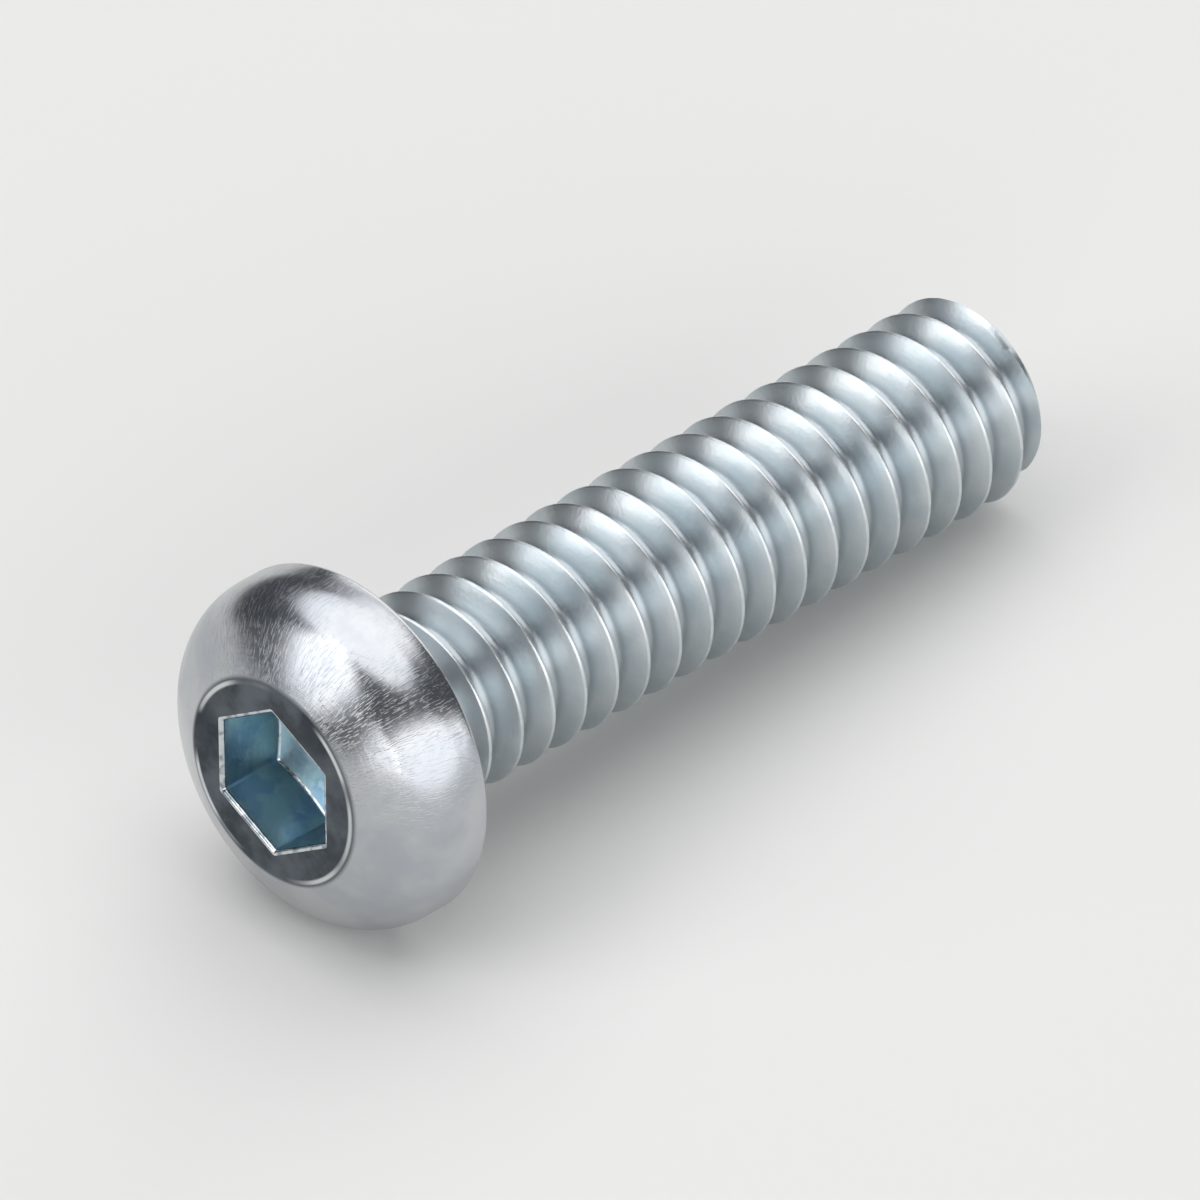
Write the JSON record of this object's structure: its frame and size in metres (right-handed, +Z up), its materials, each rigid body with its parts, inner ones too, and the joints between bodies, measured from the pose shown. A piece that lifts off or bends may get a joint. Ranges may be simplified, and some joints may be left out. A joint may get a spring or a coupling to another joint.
{
  "type": "button head socket screw",
  "caption": "Domed button head screw with a hexagon socket, a short neck and a machine thread along its shank, for fastening with a hex key.",
  "frame": {"origin": "middle of the bottom of its box, as the screw lies", "axes": "+X from the head towards the tip, +Z up; the shank leans 5.22 degrees, tip down"},
  "size_m": [0.0288, 0.0106, 0.0107],
  "materials": {
    "zinc_plated_steel": "bright zinc plate over rolled steel, glossy, with fine handling scratches and a faint blue tint"
  },
  "bodies": {
    "root": {"button_head_screw": "zinc_plated_steel"}
  },
  "joints": []
}
